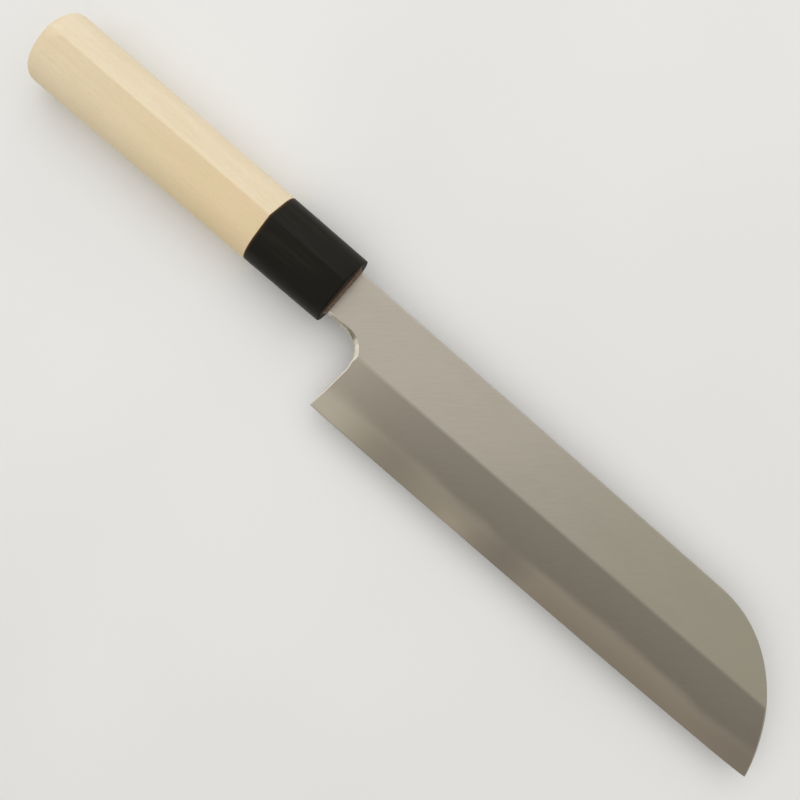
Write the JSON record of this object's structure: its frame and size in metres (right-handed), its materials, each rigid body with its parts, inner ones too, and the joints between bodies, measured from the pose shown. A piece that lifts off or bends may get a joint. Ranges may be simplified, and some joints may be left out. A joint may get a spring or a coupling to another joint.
{
  "type": "kamagata usuba knife",
  "caption": "Single-bevel Japanese vegetable knife with a straight edge, a curved end, a hollow-ground back, a horn ferrule and a pale D-section wooden handle.",
  "frame": {"origin": "under the middle of the knife's box, on the surface that it lies on", "axes": "+X from the butt to the tip, +Y from the edge to the spine, +Z out of the bevelled face, with the hollow-ground back down"},
  "size_m": [0.3202, 0.047, 0.0218],
  "materials": {
    "blade_iron": "satin soft iron, cloudy on the bevel",
    "edge_steel": "polished hard steel",
    "magnolia": "unsealed, finely sanded",
    "horn": "polished black horn",
    "resin": "brown resin"
  },
  "bodies": {
    "root": {"blade_iron": "blade_iron", "edge_steel": "edge_steel", "handle": "magnolia", "ferrule": "horn", "tang_seal": "resin"}
  },
  "joints": []
}
